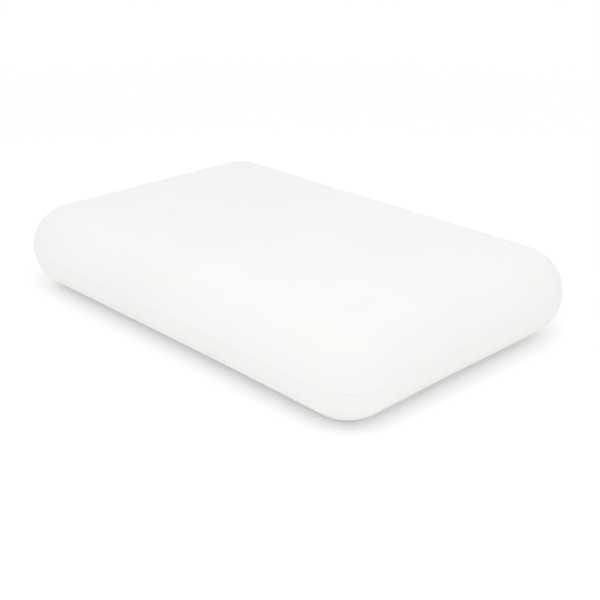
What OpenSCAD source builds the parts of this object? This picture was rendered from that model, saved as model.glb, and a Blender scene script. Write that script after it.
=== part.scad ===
// Moulded-foam bed pillow: a foam block with a full round edge, sewn into a
// thin inner liner and a snug outer cover that a zip closes along the back.
// Origin: centre of the flat underside. +X runs along the long side, +Z is up,
// and the zip is on the long side that faces +Y.

/* [Pillow] */
// Overall length of the covered pillow, along X
pillow_length = 600; // [480:1:760]
// Overall width of the covered pillow, along Y
pillow_width = 395; // [300:1:500]
// Overall height of the covered pillow; its edge is a half circle of this diameter
pillow_height = 106; // [80:1:140]
// Plan radius of the corners of the flat top; the round edge adds its own radius
top_corner_radius = 3; // [1:0.5:25]

/* [Cover] */
// Thickness of the knitted cover
cover_thickness = 1.2; // [0.8:0.1:2]
// Height of the seam that joins the two cover panels round the girth
seam_height = 1.4; // [0.8:0.1:3]
// How far the girth seam stands out from the panels
seam_proud = 0.5; // [0.2:0.1:1.5]

/* [Liner] */
// Thickness of the jersey liner
liner_thickness = 0.5; // [0.3:0.1:1]
// Air gap between touching layers
layer_gap = 0.1; // [0.05:0.05:0.3]
// Gap between the liner and the plate of the slider that runs behind the zip
liner_clearance = 0.4; // [0.3:0.1:1.5]

/* [Zip] */
// Plain stretch of girth seam between each end of the zip and the corner
zip_end_margin = 14; // [12:1:80]
// Gap between the slider and each turned edge of the cover
slit_clearance = 0.9; // [0.5:0.1:3]
// Width of each woven tape
tape_width = 12; // [9:0.5:16]
// Thickness of each woven tape
tape_thickness = 0.5; // [0.3:0.1:0.8]
// How far each tape runs on behind the cover past the end of the slit
tape_tail = 8; // [4:1:10]
// Width of the closed chain across both coils
chain_width = 6; // [5:0.2:6.6]
// Thickness of the coils on the tapes
coil_thickness = 2; // [1.6:0.1:2.6]
// Gap between the two coils, where the slider's post passes
chain_gap = 1.2; // [1:0.1:1.6]
// Length of each top stop
top_stop_length = 3; // [2:0.5:5]
// Length of the bottom stop
bottom_stop_length = 5; // [3:0.5:8]
// Distance from the end of the slit to the stop beside it
stop_inset = 0.5; // [0.3:0.1:2]
// How far the stops stand out from the coils
stop_proud = 0.6; // [0.3:0.1:1]

/* [Slider] */
// Length of the slider
slider_length = 11; // [10:0.5:15]
// Thickness of the slider's two plates and of its side flanges
slider_wall = 0.8; // [0.6:0.1:1.2]
// Running clearance round the chain inside the slider
slider_clearance = 0.3; // [0.2:0.05:0.5]
// Corner radius of the slider's plates
slider_corner = 1.6; // [0.5:0.1:2.5]
// Length of the bridge that holds the pull tab
bridge_length = 8; // [7:0.5:9]
// Width of the bridge
bridge_width = 2.2; // [1.6:0.1:3]
// Thickness of the bridge
bridge_wall = 1; // [0.8:0.1:1.4]

/* [Pull tab] */
// Length of the pull tab, from its pivot to its tip
tab_length = 26; // [16:1:40]
// Width of the pull tab
tab_width = 7; // [6:0.2:8]
// Thickness of the pull tab, and the diameter of its pivot bar
tab_thickness = 1.2; // [0.8:0.1:1.6]
// Clearance round the pivot bar and the bridge
tab_clearance = 0.5; // [0.4:0.05:0.8]
// Diameter of the hole near the tab's tip
tab_hole = 3; // [1.5:0.1:4]

/* [Stitching] */
// Distance of the topstitching from the cover's turned edge
stitch_inset = 3; // [2:0.5:6]
// Diameter of the sewing thread
thread_diameter = 0.6; // [0.4:0.1:1]
// How far each bartack reaches past the turned edges of the slit
bartack_overlap = 1.5; // [0.5:0.5:4]
// Width of each bartack
bartack_width = 2; // [1:0.5:3]

/* [Care label] */
// Width of the label, along the seam
label_width = 30; // [20:1:50]
// Height that the label hangs down from the seam
label_drop = 36; // [20:1:38]
// Thickness of the folded label
label_thickness = 0.6; // [0.3:0.1:1]
// Distance of the label's middle from the pillow's centre line, towards the zip
label_offset = 70; // [0:5:80]

/* [Hidden] */
$fn = 180;

// A size that is larger than the whole pillow, for half-space cuts
beyond = 2 * (pillow_length + pillow_width + pillow_height);
edge_radius = pillow_height / 2;
flat_length = pillow_length - pillow_height;
flat_width = pillow_width - pillow_height;
straight_length = flat_length - 2 * top_corner_radius;

// Depths below the cover's outer face; a negative depth stands out from it
tape_depth = cover_thickness + layer_gap;
tape_back = tape_depth + tape_thickness;
coil_face = tape_depth - coil_thickness;
top_plate_back = coil_face - slider_clearance;
top_plate_face = top_plate_back - slider_wall;
bottom_plate_face = tape_back + 1.5 * slider_clearance;
bottom_plate_back = bottom_plate_face + slider_wall;
liner_depth = bottom_plate_back + liner_clearance;
core_depth = liner_depth + liner_thickness + layer_gap;

// Stations along the zip
zip_half = straight_length / 2 - zip_end_margin;
coil_start = -zip_half + stop_inset + bottom_stop_length;
coil_end = zip_half - stop_inset - top_stop_length;
slider_x = coil_end - slider_clearance - slider_length / 2;

// The slider, across the chain, and the slit and bartacks that go with it
slider_width = chain_width + 2 * (slider_clearance + slider_wall);
slit_height = slider_width + 2 * slit_clearance;
bartack_length = slit_height + 2 * bartack_overlap;
post_thickness = chain_gap - 0.4;
post_length = 3.5;
flange_depth = tape_depth - 1.5 * slider_clearance;

// The bridge and the tab's pivot, measured outwards from the top plate
pivot_rise = tab_clearance + tab_thickness / 2;
pivot_out = -top_plate_face + pivot_rise;
bridge_rise = pivot_rise + tab_thickness / 2 + tab_clearance + bridge_wall;
window_width = bridge_width + 2 * tab_clearance;
window_length = bridge_length / 2 + 3 * tab_clearance;

white = "#f4f4f1";
off_white = "#e9e8e2";
foam_white = "#efe9d8";
nylon_white = "#eeeeea";
nickel = "#b9bbbd";

// Half of the edge profile of the block at one depth, about the corner's axis
module corner_profile(radius) {
    intersection() {
        union() {
            translate([top_corner_radius, 0]) circle(r = radius);
            translate([0, -radius]) square([top_corner_radius, 2 * radius]);
        }
        translate([0, -radius]) square([top_corner_radius + radius, 2 * radius]);
    }
}

// The pillow's block, with every face set in by depth
module block(depth) {
    radius = edge_radius - depth;
    corner_x = flat_length / 2 - top_corner_radius;
    corner_y = flat_width / 2 - top_corner_radius;
    translate([0, 0, edge_radius]) {
        for (side = [0, 1], end = [0, 1])
            mirror([end, 0, 0]) mirror([0, side, 0])
                translate([corner_x, corner_y, 0])
                    rotate_extrude(angle = 90) corner_profile(radius);
        for (side = [0, 1])
            mirror([0, side, 0])
                translate([-corner_x, flat_width / 2, 0])
                    rotate([90, 0, 90])
                        linear_extrude(2 * corner_x) circle(r = radius);
        for (end = [0, 1])
            mirror([end, 0, 0])
                translate([flat_length / 2, corner_y, 0])
                    rotate([90, 0, 0])
                        linear_extrude(2 * corner_y) circle(r = radius);
        cube([flat_length, 2 * corner_y, 2 * radius], center = true);
        cube([2 * corner_x, flat_width, 2 * radius], center = true);
    }
}

// The layer of the block between an outer and an inner depth
module layer(outer, inner) {
    difference() {
        block(outer);
        block(inner);
    }
}

// Everything between two heights above the girth
module band(low, high) {
    translate([-beyond / 2, -beyond / 2, edge_radius + low])
        cube([beyond, beyond, high - low]);
}

// A box on the back of the pillow, from start to end along X, between two
// heights above the girth
module back_box(start, end, low, high) {
    translate([start, 0, edge_radius + low])
        cube([end - start, beyond, high - low]);
}

// Places its children at a point of the zip, where y = 0 is the cover's face
// and +Y points away from the pillow
module at_zip(x) {
    translate([x, pillow_width / 2, edge_radius]) children();
}

// A flat plate whose outline is drawn in X and Z, between two depths
module plate_between(outer, inner) {
    translate([0, -outer, 0])
        rotate([90, 0, 0]) linear_extrude(inner - outer) children();
}

// A rectangle about the origin with round corners
module rounded_rectangle(length, width, radius) {
    square([length - 2 * radius, width], center = true);
    square([length, width - 2 * radius], center = true);
    for (sx = [-1, 1], sy = [-1, 1])
        translate([sx * (length / 2 - radius), sy * (width / 2 - radius)])
            circle(r = radius);
}

// A bar with two round ends, from the origin along X
module slot(length, width) {
    translate([width / 2, -width / 2]) square([length - width, width]);
    for (end = [width / 2, length - width / 2])
        translate([end, 0]) circle(d = width);
}

module foam_core() {
    color(foam_white) block(core_depth);
}

module liner_half(low, high) {
    color(off_white)
        intersection() {
            layer(liner_depth, liner_depth + liner_thickness);
            band(low, high);
        }
}

module liner_top() {
    liner_half(seam_height / 2, edge_radius);
}

module liner_bottom() {
    liner_half(-edge_radius, -seam_height / 2);
}

// The overlocked seam of the liner, flush with its two halves
module liner_seam() {
    liner_half(-seam_height / 2, seam_height / 2);
}

// One cover panel: its half of the layer, less its half of the zip's slit
module cover_panel(low, high) {
    color(white)
        difference() {
            intersection() {
                layer(0, cover_thickness);
                band(low, high);
            }
            back_box(-zip_half, zip_half, -slit_height / 2, slit_height / 2);
        }
}

module cover_top_panel() {
    cover_panel(seam_height / 2, edge_radius + 1);
}

module cover_bottom_panel() {
    cover_panel(-edge_radius - 1, -seam_height / 2);
}

// The seam round the girth, which stops at both ends of the zip
module cover_girth_seam() {
    color(off_white)
        difference() {
            intersection() {
                layer(-seam_proud, cover_thickness);
                band(-seam_height / 2, seam_height / 2);
            }
            back_box(-zip_half, zip_half, -seam_height, seam_height);
        }
}

// A tape follows the round edge just behind the cover; side is 1 above the
// chain and -1 below it
module zip_tape(side) {
    near = side * chain_gap / 2;
    far = side * (chain_gap / 2 + tape_width);
    tape_end = zip_half + tape_tail;
    color(nylon_white)
        intersection() {
            layer(tape_depth, tape_back);
            back_box(-tape_end, tape_end, min(near, far), max(near, far));
        }
}

module zip_tape_upper() {
    zip_tape(1);
}

module zip_tape_lower() {
    zip_tape(-1);
}

// The plain outline of one coil, seated on its tape
module zip_coil(side) {
    coil_width = (chain_width - chain_gap) / 2;
    color(nylon_white)
        difference() {
            at_zip(0)
                translate([coil_start, -tape_back, (side * (chain_gap + coil_width) - coil_width) / 2])
                    cube([coil_end - coil_start, tape_back - coil_face, coil_width]);
            block(tape_depth);
        }
}

module zip_coil_upper() {
    zip_coil(1);
}

module zip_coil_lower() {
    zip_coil(-1);
}

// A stop clamps one coil, or both, and seats on the tape
module zip_stop(length, width) {
    stop_radius = 0.6;
    plate_between(coil_face - stop_proud, tape_back)
        rounded_rectangle(length, width, stop_radius);
}

module zip_top_stops() {
    stop_width = (chain_width - chain_gap) / 2 + 0.4;
    color(nickel)
        difference() {
            for (side = [-1, 1])
                at_zip(zip_half - stop_inset - top_stop_length / 2)
                    translate([0, 0, side * (chain_gap + stop_width) / 2])
                        zip_stop(top_stop_length, stop_width);
            block(tape_depth);
        }
}

module zip_bottom_stop() {
    color(nickel)
        difference() {
            at_zip(-zip_half + stop_inset + bottom_stop_length / 2)
                zip_stop(bottom_stop_length, chain_width + 0.8);
            block(tape_depth);
        }
}

// Dense stitching over the seam at both ends of the slit
module zip_bartacks() {
    bartack_start = zip_half + bartack_width / 2;
    color(white)
        for (end = [0, 1])
            mirror([end, 0, 0])
                difference() {
                    intersection() {
                        layer(-seam_proud - thread_diameter, 0);
                        back_box(bartack_start, bartack_start + bartack_width,
                            -bartack_length / 2, bartack_length / 2);
                    }
                    intersection() {
                        block(-seam_proud);
                        band(-seam_height / 2, seam_height / 2);
                    }
                }
}

// A row of topstitching along both turned edges of the cover
module zip_topstitch() {
    row_angle = asin((slit_height / 2 + stitch_inset) / edge_radius);
    thread_radius = thread_diameter / 2;
    color(white)
        for (side = [-1, 1])
            translate([-zip_half, flat_width / 2, edge_radius])
                rotate([side * row_angle, 0, 0])
                    translate([0, edge_radius + thread_radius, 0])
                        rotate([0, 90, 0]) cylinder(r = thread_radius, h = 2 * zip_half);
}

// A blank folded label that hangs from the girth seam on the -X short side
module care_label() {
    color(white)
        translate([-pillow_length / 2 - layer_gap - label_thickness, label_offset - label_width / 2, 0])
            translate([0, 0, edge_radius - seam_height / 2 - label_drop])
                cube([label_thickness, label_width, label_drop]);
}

// Two plates on either side of the chain, joined by a post between the coils,
// with flanges round the chain and a bridge for the pull tab
module zip_slider_body() {
    flange_length = slider_length - 2 * slider_corner;
    color(nickel)
        at_zip(slider_x) {
            plate_between(top_plate_face, top_plate_back)
                rounded_rectangle(slider_length, slider_width, slider_corner);
            plate_between(bottom_plate_face, bottom_plate_back)
                rounded_rectangle(slider_length, slider_width, slider_corner);
            plate_between(top_plate_face, bottom_plate_back)
                translate([slider_length / 2 - slider_corner - post_length, 0])
                    slot(post_length, post_thickness);
            for (side = [-1, 1])
                plate_between(top_plate_face, flange_depth)
                    translate([0, side * (slider_width - slider_wall) / 2])
                        square([flange_length, slider_wall], center = true);
            slider_bridge();
        }
}

// The bridge: a rounded arch along X on the slider's top plate
module slider_bridge() {
    outer_radius = 1.4;
    foot = slider_wall / 2;
    translate([0, 0, -bridge_width / 2])
        linear_extrude(bridge_width)
            difference() {
                intersection() {
                    translate([0, -top_plate_face])
                        rounded_rectangle(bridge_length, 2 * bridge_rise, outer_radius);
                    translate([-bridge_length / 2, -top_plate_face - foot])
                        square([bridge_length, bridge_rise + foot]);
                }
                translate([0, -top_plate_face])
                    rounded_rectangle(bridge_length - 2 * bridge_wall, 2 * (bridge_rise - bridge_wall),
                        outer_radius - bridge_wall / 2);
            }
    translate([-bridge_length / 2, -top_plate_face - foot, -bridge_width / 2])
        cube([bridge_length, foot, bridge_width]);
}

// A plate with a window that the bridge passes through and a round pivot bar
// under the bridge; at rest it lies along the zip, towards -X
module zip_pull_tab() {
    bar_radius = tab_thickness / 2;
    tip_radius = tab_width / 2;
    color(nickel)
        at_zip(slider_x)
            translate([0, pivot_out, 0]) {
                cylinder(r = bar_radius, h = tab_width, center = true);
                plate_between(-bar_radius, bar_radius)
                    difference() {
                        union() {
                            translate([tip_radius - tab_length, -tab_width / 2])
                                square([tab_length - tip_radius, tab_width]);
                            translate([tip_radius - tab_length, 0]) circle(r = tip_radius);
                        }
                        translate([-window_length, -window_width / 2])
                            square([window_length - bar_radius, window_width]);
                        translate([1.15 * tip_radius - tab_length, 0]) circle(d = tab_hole);
                    }
            }
}

foam_core();
liner_top();
liner_bottom();
liner_seam();
cover_top_panel();
cover_bottom_panel();
cover_girth_seam();
zip_tape_upper();
zip_tape_lower();
zip_coil_upper();
zip_coil_lower();
zip_top_stops();
zip_bottom_stop();
zip_bartacks();
zip_topstitch();
care_label();
zip_slider_body();
zip_pull_tab();
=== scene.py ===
# %% [markdown]
# # A moulded-foam bed pillow
#
# The pillow is a block of memory foam with two flat faces and a half-round edge. A thin jersey liner
# is sewn round the foam, and a smooth knitted cover goes over both. The cover's two panels meet in
# one fine seam round the girth, and a zip closes that seam along the back.
#
# Every piece here is a surface worked out from the same few sizes, so that the layers follow each
# other. The frame gives those sizes: it holds each piece's place, and nothing is fitted afterwards.

import math

import bpy
import numpy as np
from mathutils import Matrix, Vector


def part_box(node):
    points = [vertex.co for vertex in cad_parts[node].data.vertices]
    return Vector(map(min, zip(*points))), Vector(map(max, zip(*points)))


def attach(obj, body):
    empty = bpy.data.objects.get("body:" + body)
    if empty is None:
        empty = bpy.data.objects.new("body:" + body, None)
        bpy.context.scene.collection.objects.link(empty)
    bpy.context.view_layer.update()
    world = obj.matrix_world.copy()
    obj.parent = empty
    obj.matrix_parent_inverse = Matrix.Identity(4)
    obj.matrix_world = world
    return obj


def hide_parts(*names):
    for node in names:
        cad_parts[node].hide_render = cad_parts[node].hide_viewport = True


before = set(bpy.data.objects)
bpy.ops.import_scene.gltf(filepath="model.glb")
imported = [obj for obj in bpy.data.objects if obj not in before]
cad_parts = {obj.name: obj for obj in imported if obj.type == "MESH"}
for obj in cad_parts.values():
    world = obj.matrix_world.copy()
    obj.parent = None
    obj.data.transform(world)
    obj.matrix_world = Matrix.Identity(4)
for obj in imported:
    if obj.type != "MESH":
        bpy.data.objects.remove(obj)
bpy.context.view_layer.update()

# %% [markdown]
# ## The pillow's sizes
#
# The boxes of the frame's nodes give the outer sizes and how deep each layer lies. The edge is a half
# circle, so its radius is half of the height. The faces' own corners are almost sharp in plan: the
# round edge is what makes the pillow's corners look round.

# %% Sizes of the block and its layers
MM = 0.001
FLAT_CORNER = 3 * MM
OUT = np.array([0.0, 1.0, 0.0])
UP = np.array([0.0, 0.0, 1.0])


def box_of(node):
    """Centre and half sizes of a node's box."""
    low, high = (np.array(corner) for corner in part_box(node))
    return (low + high) / 2, (high - low) / 2


def node_size(node):
    """The three sides of a node's box."""
    return 2 * box_of(node)[1]


length, width, _ = node_size("cover_top_panel")
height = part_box("cover_top_panel")[1].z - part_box("cover_bottom_panel")[0].z
edge_radius = height / 2
corner_x = (length - height) / 2 - FLAT_CORNER
corner_y = (width - height) / 2 - FLAT_CORNER
core_depth = (length - node_size("foam_core")[0]) / 2
liner_depth = (length - node_size("liner_seam")[0]) / 2
seam_half = node_size("cover_girth_seam")[2] / 2
seam_proud = (node_size("cover_girth_seam")[0] - length) / 2
back_y = width / 2
print(f"block {length:.3f} x {width:.3f} x {height:.3f} m, core {core_depth / MM:.2f} mm deep")

# %% [markdown]
# ## Meshes from grids
#
# A surface is a grid of points, row after row. The same helper joins neighbours into four-sided faces,
# and it can wrap a direction round, as a tube needs. Many small equal pieces, such as stitches, are one
# small grid that is copied to many places in a single sum.

# %% Grid helpers
def side_by_side(*values):
    """Arrays or numbers brought to one shape and put side by side along a new last axis."""
    return np.stack(np.broadcast_arrays(*values), axis=-1)


def grid_quads(rows, columns, wrap_rows=False, wrap_columns=False):
    """Faces between neighbours of a grid; a wrapped direction joins its last line to its first."""
    r = np.arange(rows if wrap_rows else rows - 1)[:, None]
    c = np.arange(columns if wrap_columns else columns - 1)[None, :]
    r2, c2 = (r + 1) % rows, (c + 1) % columns
    corners = (r * columns + c, r * columns + c2, r2 * columns + c2, r2 * columns + c)
    return side_by_side(*corners).reshape(-1, 4)


def facing(quads, side):
    """The faces as they are for side 1, and turned over for side -1."""
    return quads if side > 0 else quads[:, ::-1]


def tube_faces(rings, sides, closed=False, inside_out=False):
    """The wall of a tube; an open tube gets a flat face at each end."""
    faces = grid_quads(rings, sides, wrap_rows=closed, wrap_columns=True).tolist()
    if not closed:
        faces += [list(range(sides))[::-1], list(range((rings - 1) * sides, rings * sides))]
    return [face[::-1] for face in faces] if inside_out else faces


def mesh_piece(name, points, faces, uv=None, smooth=True):
    """A new object at the origin with these points and faces; uv gives one pair for each point."""
    faces = [list(map(int, face)) for face in faces]
    mesh = bpy.data.meshes.new(name)
    mesh.from_pydata(np.asarray(points, float).reshape(-1, 3).tolist(), [], faces)
    if uv is not None:
        corner_points = np.concatenate([np.asarray(face) for face in faces])
        layer = mesh.uv_layers.new(name="UVMap")
        layer.data.foreach_set("uv", np.asarray(uv, np.float32).reshape(-1, 2)[corner_points].ravel())
    mesh.polygons.foreach_set("use_smooth", np.full(len(mesh.polygons), smooth))
    mesh.update()
    piece = bpy.data.objects.new(name, mesh)
    bpy.context.scene.collection.objects.link(piece)
    return piece


def joined(parts):
    """One set of points, faces and uv; each part's faces count on from the parts before it."""
    points = [np.reshape(part[0], (-1, 3)) for part in parts]
    starts = np.cumsum([0] + [len(part) for part in points])
    faces = [(np.asarray(face) + start).tolist() for part, start in zip(parts, starts) for face in part[1]]
    return np.concatenate(points), faces, np.concatenate([np.reshape(part[2], (-1, 2)) for part in parts])


# %% Thickness, welds and bodies, and a few small curves
def thicken(piece, thickness):
    """Give a sheet its thickness, half to each side."""
    solid = piece.modifiers.new("Thickness", "SOLIDIFY")
    solid.thickness = thickness
    solid.offset = 0


def weld(piece, distance=1e-6):
    """Merge points that lie on each other, so that two halves become one closed skin."""
    merge = piece.modifiers.new("Weld", "WELD")
    merge.merge_threshold = distance


def belongs(piece, body, node=None):
    """The body that a piece rides and, if it stands for one, its node, which is then hidden."""
    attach(piece, body)
    if node is not None:
        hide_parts(node)
    return piece


def smoothstep(low, high, x):
    """0 below low, 1 above high, and an S-shaped ramp between."""
    t = np.clip((x - low) / (high - low), 0, 1)
    return t * t * (3 - 2 * t)


def bell(x, reach):
    """A bell curve: 1 at zero, falling with the square of x over its reach."""
    return np.exp(-((x / reach) ** 2))


def unit(vectors):
    """Each vector divided by its own length."""
    return vectors / np.linalg.norm(vectors, axis=-1, keepdims=True)


# %% [markdown]
# ## The block, unrolled
#
# A cover panel could be a sphere-like grid with a pole in the middle, or a flat grid that is bent over
# the edge. The flat grid is used, because a knitted fabric is one too: its rows stay parallel to the
# pillow's sides. Each grid point has a walk, the distance outwards from the flat face's corner centre.
# The walk goes round the edge's circle, down to the girth. At a corner, the grid's square patch turns
# into a quarter of a ball.

# %% Points on the unrolled block
full_walk = FLAT_CORNER + edge_radius * math.pi / 2


def walk_and_turn(s, t):
    """The walk is the larger overshoot past the corner centres; the ratio of both gives the turn in plan."""
    over_x = np.maximum(np.abs(s) - corner_x, 0)
    over_y = np.maximum(np.abs(t) - corner_y, 0)
    walk = np.maximum(over_x, over_y)
    half_turn = math.pi / 4 * np.minimum(over_x, over_y) / np.maximum(walk, 1e-9)
    return walk, np.where(over_x >= over_y, half_turn, math.pi / 2 - half_turn)


def on_block(s, t, walk, turn, depth):
    """A point of the upper half.

    Past the flat corner the walk is an angle on the edge's circle, whose radius is less by the depth.
    """
    angle = np.maximum(walk - FLAT_CORNER, 0) / edge_radius
    reach = np.minimum(walk, FLAT_CORNER) + (edge_radius - depth) * np.sin(angle)
    x = np.sign(s) * (np.minimum(np.abs(s), corner_x) + reach * np.cos(turn))
    y = np.sign(t) * (np.minimum(np.abs(t), corner_y) + reach * np.sin(turn))
    z = edge_radius + (edge_radius - depth) * np.cos(angle)
    return side_by_side(x, y, z)


def half_side(points, direction):
    """The points as they are for direction 1, and mirrored about mid-height for -1."""
    points[..., 2] = edge_radius + direction * (points[..., 2] - edge_radius)
    return points


def flat_pattern(s, t, walk, turn):
    """Where the point lies on the flat cloth: the walk is laid out straight in the turn's direction."""
    u = np.sign(s) * (np.minimum(np.abs(s), corner_x) + walk * np.cos(turn))
    v = np.sign(t) * (np.minimum(np.abs(t), corner_y) + walk * np.sin(turn))
    return side_by_side(u, v)


def spread(half_flat, edge_steps, inner):
    """Grid lines across one direction: the edge's steps, the flat face's lines, the edge's steps again."""
    outer = half_flat + edge_steps
    return np.concatenate([-outer[::-1], inner, outer])


def inner_lines(half_flat, spacing):
    """Evenly spaced lines strictly inside the flat face."""
    count = int(round(2 * half_flat / spacing))
    return np.linspace(-half_flat, half_flat, count + 1)[1:-1]


def even_lines(spacing):
    """The lines of an even grid along X and along Y, from girth to girth."""
    edge = np.linspace(0, full_walk, int(full_walk / spacing) + 1)
    return [spread(half_flat, edge, inner_lines(half_flat, spacing)) for half_flat in (corner_x, corner_y)]


print(f"walk from face to girth: {full_walk / MM:.1f} mm")

# %% [markdown]
# ## How the cover settles on the foam
#
# Knit that is drawn over foam isn't a perfect offset of it. It lifts a little where the foam is flat
# and is drawn tight over the corners. A cloth simulation gives that: the sheet is held at the girth, a
# light pressure stands for the foam pushing out, and how far any point may move is capped, because a
# snug cover can't leave its foam. A coarse grid is enough, and its shift is spread over the fine one.

# %% Simulate the settling of one panel
COARSE_STEP = 8 * MM
LIFT_CAP = 0.9 * MM
CLOTH_FRAMES = 20
HELD_SHARE = 0.97
PRESSURE = 0.25
STRETCH_STIFFNESS = 12
BEND_STIFFNESS = 0.6
GROWTH = 0.006
AVERAGING_PASSES = 6


def settled_shift(s_lines, t_lines, direction):
    """How far each coarse grid point moves, capped: the shift over one plus its length over the cap."""
    s, t = np.meshgrid(s_lines, t_lines)
    walk, turn = walk_and_turn(s, t)
    rest = half_side(on_block(s, t, walk, turn, 0), direction)
    trial = mesh_piece("cloth_trial", rest, facing(grid_quads(*s.shape), direction))
    held = trial.vertex_groups.new(name="held")
    held.add(np.flatnonzero(walk.ravel() > HELD_SHARE * full_walk).tolist(), 1.0, "REPLACE")
    cloth = trial.modifiers.new("Cloth", "CLOTH")
    cloth.settings.quality = 6
    cloth.settings.tension_stiffness = STRETCH_STIFFNESS
    cloth.settings.compression_stiffness = STRETCH_STIFFNESS
    cloth.settings.bending_stiffness = BEND_STIFFNESS
    cloth.settings.shrink_min = -GROWTH
    cloth.settings.use_pressure = True
    cloth.settings.uniform_pressure_force = PRESSURE
    cloth.settings.effector_weights.gravity = 0
    cloth.settings.vertex_group_mass = "held"
    cloth.collision_settings.use_collision = False
    for frame_number in range(1, CLOTH_FRAMES + 1):
        bpy.context.scene.frame_set(frame_number)
    result = trial.evaluated_get(bpy.context.evaluated_depsgraph_get()).data
    moved = np.empty(rest.size)
    result.vertices.foreach_get("co", moved)
    shift = moved.reshape(rest.shape) - rest
    bpy.data.objects.remove(trial, do_unlink=True)
    bpy.context.scene.frame_set(1)
    size = np.linalg.norm(shift, axis=-1, keepdims=True)
    print(f"cloth moved up to {size.max() / MM:.1f} mm before the cap")
    return shift / (1 + size / LIFT_CAP)


def mix_lines(values, old, new):
    """Rows of values at the old lines, mixed in a straight line for the new ones."""
    index = np.clip(np.searchsorted(old, new) - 1, 0, len(old) - 2)
    share = np.clip((new - old[index]) / (old[index + 1] - old[index]), 0, 1)[:, None, None]
    return values[index] * (1 - share) + values[index + 1] * share


def spread_shift(shift, coarse_s, coarse_t, fine_s, fine_t):
    """The coarse shift at the fine lines, mixed along each direction and averaged with neighbours."""
    rows = mix_lines(shift, coarse_t, fine_t)
    fine = mix_lines(rows.swapaxes(0, 1), coarse_s, fine_s).swapaxes(0, 1)
    for _ in range(AVERAGING_PASSES):
        padded = np.pad(fine, ((1, 1), (1, 1), (0, 0)), mode="edge")
        across = (padded[:, :-2] + 2 * padded[:, 1:-1] + padded[:, 2:]) / 4
        fine = (across[:-2] + 2 * across[1:-1] + across[2:]) / 4
    return fine


# %% [markdown]
# ## The cover's two panels
#
# Each panel ends in a turned edge: the knit goes round a tiny half circle and runs back inside, so that
# no cut edge shows. Round most of the girth the two turned edges meet at the seam. Along the zip they
# stand apart and leave the slit. A sewn seam is never quite level, so this one wanders a little about
# mid-height, except at the zip. Close to it the cover bulges over the seam allowance, and the stitches
# draw the knit into faint puckers.

# %% The zip's slit and the line of the seam
zip_half = node_size("zip_topstitch")[0] / 2
slit_half = node_size("zip_slider_body")[2] / 2 + 0.9 * MM
stitch_rise = slit_half + 3 * MM
FRONT_RISE, FRONT_X, FRONT_REACH = 2.2 * MM, 0.08, 0.13
CORNER_SAG, SAG_PAST_X, SAG_PAST_Y, SAG_REACH = 1.8 * MM, 0.035, 0.01, 0.09
RIDGE = 0.8 * MM
RIDGE_REACH = 6 * MM


def seam_wander(x, y):
    """How far the seam lies above mid-height.

    One bell curve lifts it along the front, and another lowers it at the near corner.
    """
    rise = np.exp(-((x - FRONT_X) ** 2 + (y + back_y) ** 2) / FRONT_REACH**2)
    sag = np.exp(-((x - corner_x - SAG_PAST_X) ** 2 + (y + corner_y + SAG_PAST_Y) ** 2) / SAG_REACH**2)
    return FRONT_RISE * rise - CORNER_SAG * sag


def seam_ridge(gap):
    """The seam allowance inside pushes the cover out: an exponential fall from the seam on both sides."""
    return RIDGE * np.exp(-np.abs(gap) / RIDGE_REACH)


print(f"zip slit: {2 * zip_half:.3f} m long, {2 * slit_half / MM:.1f} mm high")
print(f"seam wanders from {-CORNER_SAG / MM:.1f} to {FRONT_RISE / MM:.1f} mm about mid-height")

# %% The turned edge, the puckers and the stitch grooves
KNIT_THICKNESS = 0.42 * MM
FOLD_RADIUS = 0.24 * MM
TURN_BACK = 6 * MM
PANEL_STEP = 3.1 * MM
SEAM_OVERLAP = 0.25 * MM
SLIT_END = 1.5 * MM
SQUEEZE_FROM = 0.75
GROOVE = 0.4 * MM
GROOVE_REACH = 1.3 * MM
PUCKER_HEIGHT = 0.035 * MM
PUCKER_BAND = (0.82, 0.98)
LIFT_FADE = (0.7, 0.95)
rng = np.random.default_rng(7)


def at_zip(s, t, before, after):
    """1 on the back within the zip's length, fading from before its ends to after them."""
    return (t > 0) * (1 - smoothstep(zip_half - before, zip_half + after, np.abs(s)))


def edge_height(s, t):
    """How far above the girth the turned edge starts: at the seam, or at the slit's lip along the zip."""
    at_seam = FOLD_RADIUS + KNIT_THICKNESS / 2 + seam_half - SEAM_OVERLAP
    return at_seam + at_zip(s, t, SLIT_END, SLIT_END) * (slit_half - seam_half + SEAM_OVERLAP)


def turned_edge(walk, rise):
    """The walk and depth of the panel near its edge.

    Up to the edge the walk is squeezed to end at the rise above the girth. Past it the cloth turns
    round the fold's half circle and comes back.
    """
    squeeze = rise * smoothstep(SQUEEZE_FROM * full_walk, full_walk, walk)
    past = np.maximum(walk - full_walk, 0)
    fold_angle = np.minimum(past / FOLD_RADIUS, math.pi)
    back = np.maximum(past - math.pi * FOLD_RADIUS, 0)
    new_walk = np.minimum(walk, full_walk) - squeeze + FOLD_RADIUS * np.sin(fold_angle) - back
    return new_walk, KNIT_THICKNESS / 2 + FOLD_RADIUS * (1 - np.cos(fold_angle))


pucker_heading = rng.uniform(0, math.tau, 9)
pucker_phase = rng.uniform(0, math.tau, 9)
pucker_wave = rng.uniform(8, 24, 9) * MM


def puckers(points, walk):
    """A sum of nine plan waves that only shows on the last stretch before the seam."""
    along = points[..., :1] * np.cos(pucker_heading) + points[..., 1:2] * np.sin(pucker_heading)
    waves = np.sin(math.tau / pucker_wave * along + pucker_phase).sum(axis=-1)
    low, high = PUCKER_BAND
    return PUCKER_HEIGHT * waves * smoothstep(low * full_walk, high * full_walk, walk)


def outward(points):
    """Unit directions away from the flat core of the block, for points on its round edge or faces."""
    reach = np.array([corner_x, corner_y]) + FLAT_CORNER
    core = np.full_like(points, edge_radius)
    core[..., :2] = np.clip(points[..., :2], -reach, reach)
    return unit(points - core)


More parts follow.
